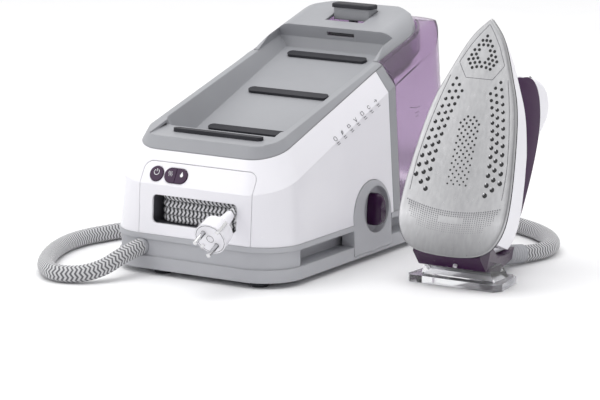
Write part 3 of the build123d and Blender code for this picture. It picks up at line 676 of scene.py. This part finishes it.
HANDLE = [
    (18, 165), (24, 110), (28, 60), (32, 20), (60, 14), (95, 24), (114, 36), (119, 55), (124, 90), (127, 125), (128, 150),
    (133, 164), (139, 176), (141, 190), (136, 203), (124, 213), (106, 217), (76, 213), (40, 208), (17, 204),
]
FINGERS = [
    (44, 70), (62, 52), (84, 56), (92, 72), (90, 105), (86, 130), (80, 150), (66, 160), (46, 160), (42, 145),
]
INLAY = [
    (52, 203), (66, 210), (80, 213), (93, 210), (105, 201), (113, 190), (119, 177), (123, 160), (124.5, 140),
    (124, 115), (121.5, 90), (118, 68), (113, 52), (109, 45), (104, 54), (99, 75), (95, 100), (90, 130),
    (86, 148), (85, 160), (79, 168), (66, 186),
]
handle = piece("handle_soft", outline_solid("handle_soft", HANDLE, FINGERS, 16.0, 7.0, ACROSS_IRON), WHITE,
               "iron")
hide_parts("handle_shell")
for side, name in ((-1, "left"), (1, "right")):
    place = ACROSS_IRON @ Matrix.Translation((0, 0, side * 0.0162))
    inlay = piece(f"inlay_{name}", outline_solid(f"inlay_{name}", INLAY, None, 1.6, 1.2, place), INLAY_VIOLET,
                  "iron")
    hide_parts(f"handle_inlay_{name}")

cuff_start, cuff_before = Vector(HOSE[-1]), Vector(HOSE[-2])
cuff_way = (cuff_start - cuff_before).normalized()
cuff_path = even([at(*(cuff_start - cuff_way * 2)), at(*(cuff_start + cuff_way * 36))], 0.0006)
ribs = piece("relief_ribs", tube_mesh("relief_ribs", cuff_path, lambda s: 0.0098 + 0.0006 * math.sin(s * 1700) + 0.03 * s,
                                      32), BASE, "iron")
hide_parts("hose_relief")


# Station --------------------------------------------------------------------------------------------------------


def facing(node, normal, up):
    """A frame on the outermost face of a node that faces along normal: X across, Y up, Z outward."""
    normal = Vector(normal).normalized()
    up = (Vector(up) - normal * Vector(up).dot(normal)).normalized()
    corners = [nodes[node].matrix_world @ v.co for v in nodes[node].data.vertices]
    top = max(c.dot(normal) for c in corners)
    middle = sum((Vector(c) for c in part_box(node)), Vector()) / 2
    origin = middle + normal * (top - middle.dot(normal) + 0.00012)
    return Matrix.Translation(origin) @ Matrix((up.cross(normal), up, normal)).transposed().to_4x4()


def ribbon(frame_, points, width=0.45, closed=False):
    """A drawn line on a face, from (across, up) points."""
    path = [frame_ @ Vector((a / 1000, b / 1000, 0)) for a, b in (points + points[:1] if closed else points)]
    return tube_mesh("ribbon", even(path, 0.0003), width / 2000, 6)


def arc(radius, low_angle, high_angle, centre=(0, 0)):
    return [(centre[0] + radius * math.cos(math.radians(a)), centre[1] + radius * math.sin(math.radians(a)))
            for a in (low_angle + (high_angle - low_angle) * k / 20 for k in range(21))]


BAND_OUT, UP = (0, -0.8813, 0.4726), (0, 0, 1)
power = facing("power_button", BAND_OUT, UP)
piece("power_sign", joined("power_sign", [ribbon(power, arc(3.1, 125, 415), 0.75), ribbon(power, [(0, 0.6), (0, 4)], 0.75)]),
      MARK, "power_button")
steam = facing("pressure_button", BAND_OUT, UP)
steam_lines = [[(dx + 0.5 * math.sin(k / 2.2), -2.6 + 0.37 * k) for k in range(15)] for dx in (-1.6, 0.2, 2.0)]
piece("steam_sign", joined("steam_sign", [ribbon(steam, line, 0.5) for line in steam_lines]),
      MARK, "pressure_button")
drop = facing("mode_button", BAND_OUT, UP)


def drop_face(bm):
    outline = [(0.0, 3.4)] + [(-1.9 * math.sin(a), -0.9 - 1.9 * math.cos(a + math.pi)) for a in
                              (math.radians(60 + 240 * k / 14) for k in range(15))]
    bm.faces.new([bm.verts.new(drop @ Vector((a / 1000, b / 1000, 0.0001))) for a, b in outline])


piece("drop_sign", from_bmesh("drop_sign", drop_face), MARK, "mode_button", smooth=False)



bulb_edge = [(100, 218.4), (112, 217.4), (124, 213.8), (136, 203.6), (141.4, 190), (139.4, 176), (134.6, 166.5)]
bulb_path = even([on_iron(5.0, p.x, p.y) for p in through(bulb_edge)], 0.001)
piece("handle_seam", tube_mesh("handle_seam", bulb_path, 0.0007, 8), BLACK, "iron")

# Plug: the rim and recess of its face, its earth clips, its grip marks and the sleeves of its pins
plug_way = Vector((0.05, -0.91, -0.40)).normalized()
plug_low, plug_high = (Vector(c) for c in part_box("plug_body"))
plug_corners = [nodes["plug_body"].matrix_world @ v.co for v in nodes["plug_body"].data.vertices]
plug_reach = max(c.dot(plug_way) for c in plug_corners)
plug_across = Vector((0.64, 0.22, -0.74))
plug_across = (plug_across - plug_way * plug_across.dot(plug_way)).normalized()
plug_face_points = [c for c in plug_corners if c.dot(plug_way) > plug_reach - 0.0006]
plug_middle = sum(plug_face_points, Vector()) / len(plug_face_points)
plug_frame = Matrix.Translation(plug_middle) @ Matrix((plug_across, plug_way.cross(plug_across), plug_way)
                                                      ).transposed().to_4x4()
plug_radius = max((c - plug_middle).length for c in plug_face_points) * 1000


def clip_boxes(bm):
    for side in (1, -1):
        for low_z, high_z, reach in ((-16.0, 0.5, plug_radius + 0.4), (-0.2, 0.6, plug_radius - 1.0)):
            made = bmesh.ops.create_cube(bm, size=1.0)["verts"]
            depth = 1.2 if low_z < -1 else 5.0
            for v in made:
                v.co = Vector((v.co.x * 3.4, side * (reach - depth / 2) + v.co.y * depth,
                               (low_z + high_z) / 2 + v.co.z * (high_z - low_z))) / 1000
    bmesh.ops.transform(bm, matrix=plug_frame, verts=bm.verts)


def marks_on_plug(bm):
    for x in (-9.5, 9.5):
        for a_, b_, r in ((x, 0.0, 2.7),):
            bm.faces.new([bm.verts.new(plug_frame @ Vector(((a_ + r * math.cos(a)) / 1000, (b_ + r * math.sin(a)) / 1000,
                                                            0.00015))) for a in (2 * math.pi * k / 20 for k in range(20))])


piece("plug_clips", from_bmesh("plug_clips", clip_boxes), CHROME, "station", smooth=False)
piece("plug_sockets", from_bmesh("plug_sockets", marks_on_plug), BLACK, "station", smooth=False)
rings = [ribbon(plug_frame, arc(plug_radius - 1.6, 0, 360), 0.5), ribbon(plug_frame, arc(4.0, 0, 360), 0.5)]
rings += [tube_mesh("sleeve", [plug_frame @ Vector((x / 1000, 0, z)) for z in (0.0, 0.0095)], 0.00245, 16)
          for x in (-9.5, 9.5)]
piece("plug_rings", joined("plug_rings", rings), BLACK, "station")

# Knob on the right flank
knob_low, knob_high = (Vector(c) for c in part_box("descale_knob"))
knob_middle = (knob_low + knob_high) / 2
knob_radius = (knob_high.z - knob_low.z) / 2
knob_face = Matrix.Translation((knob_low.x, knob_middle.y, knob_middle.z)) @ Matrix.Rotation(math.pi / 2, 4, "Y")


def knob_mesh():
    """A domed disc with a rounded grip bar across it."""
    depth = knob_high.x - knob_low.x
    r = knob_radius
    rings = [(0.94 * r, 0.0), (r, 0.001), (r, 0.30 * depth), (0.95 * r, 0.38 * depth), (0.80 * r, 0.43 * depth),
             (0.4 * r, 0.46 * depth), (0.0005, 0.47 * depth)]
    count = 64
    vertices, faces = [], []
    for radius, h in rings:
        vertices += [(radius * math.cos(2 * math.pi * k / count), radius * math.sin(2 * math.pi * k / count), h)
                     for k in range(count)]
    for i in range(len(rings) - 1):
        faces += [(i * count + k, i * count + (k + 1) % count, (i + 1) * count + (k + 1) % count, (i + 1) * count + k)
                  for k in range(count)]
    faces.append(tuple((len(rings) - 1) * count + k for k in range(count)))
    bar_rings = [(1.0, 0.3), (1.0, 0.72), (0.96, 0.86), (0.86, 0.95), (0.68, 1.0)]
    for i, (grow, h) in enumerate(bar_rings):
        start = len(vertices)
        for k in range(count):
            a = 2 * math.pi * k / count
            c, s_ = math.cos(a), math.sin(a)
            x = 0.86 * r * math.copysign(abs(c) ** 0.7, c) * grow
            y = 0.40 * r * math.copysign(abs(s_) ** 0.55, s_) * grow * (1.0 + 0.25 * math.cos(a))
            vertices.append((x, y, h * depth))
        if i:
            faces += [(start - count + k, start - count + (k + 1) % count, start + (k + 1) % count, start + k)
                      for k in range(count)]
    faces.append(tuple(len(vertices) - count + k for k in range(count)))
    mesh = bpy.data.meshes.new("knob_soft")
    mesh.from_pydata(vertices, [], faces)
    mesh.transform(knob_face)
    return mesh


knob = piece("knob_soft", knob_mesh(), VIOLET, "descale_knob")
soft_edges(knob, 40)
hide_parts("descale_knob")


def land(node, origin, way):
    """Where a ray meets a CAD node, and the surface's normal there."""
    body = nodes[node]
    inverse = body.matrix_world.inverted()
    start, direction = inverse @ Vector(origin), (inverse.to_3x3() @ Vector(way)).normalized()
    hit, point, normal, _ = body.ray_cast(start, direction)
    if not hit:
        return None
    return body.matrix_world @ point, (body.matrix_world.to_3x3() @ normal).normalized()


# Row of small care signs along the flank's upper band, one generic drawing each
SIGNS = [
    [arc(1.8, 0, 360)], [[(-1.6, -1.6), (1.6, 1.6)], arc(1.0, 0, 360)], [[(-1.8, -1), (1.8, -1), (1.2, 1.2), (-1.4, 1.2), (-1.8, -1)]],
    [[(-1.6, 1.6), (0, -1.8), (1.6, 1.6)]], [[(-1.6, -1.4), (1.6, -1.4), (1.6, 1.4), (-1.6, 1.4), (-1.6, -1.4)]],
    [arc(1.4, 20, 340)], [[(-1.8, 0), (1.8, 0)], [(0.6, 1.2), (1.8, 0), (0.6, -1.2)]],
]
sign_meshes = []
for number, drawing in enumerate(SIGNS):
    y = -66 + 14.0 * number
    found = land("body_shell", at(300, y, 164 + 0.333 * y), (-1, 0, 0))
    if found:
        point, normal = found
        along = Vector((0, math.cos(math.radians(18.4)), math.sin(math.radians(18.4))))
        along = (along - normal * along.dot(normal)).normalized()
        spot = Matrix.Translation(point + normal * 0.0001) @ Matrix((along, normal.cross(along), normal)).transposed().to_4x4()
        sign_meshes += [ribbon(spot, [(1.35 * a, 1.35 * b) for a, b in line], 0.55) for line in drawing]
        sign_meshes += [ribbon(spot, [(-2.2, -h), (2.2 - 0.6 * (number % 2), -h)], 0.7) for h in (5.0, 7.0)]
if sign_meshes:
    piece("care_signs", joined("care_signs", sign_meshes), LEGEND, "station")

tank_spot = land("water_tank", at(300, 100, 150), (-1, 0, 0))
if tank_spot:
    point, normal = tank_spot
    level = Matrix.Translation(point + normal * 0.0001) @ Matrix((Vector((0, 1, 0)), normal.cross(Vector((0, 1, 0))), normal)
                                                                ).transposed().to_4x4()
    marks = [ribbon(level, [(-12, 3), (-2, 0.5), (9, 0.5)], 0.6), ribbon(level, [(-1, -5), (8, -5)], 0.5),
             ribbon(level, [(-1, -9), (5, -9)], 0.5)]
    piece("level_mark", joined("level_mark", marks), LEGEND, "water_tank")
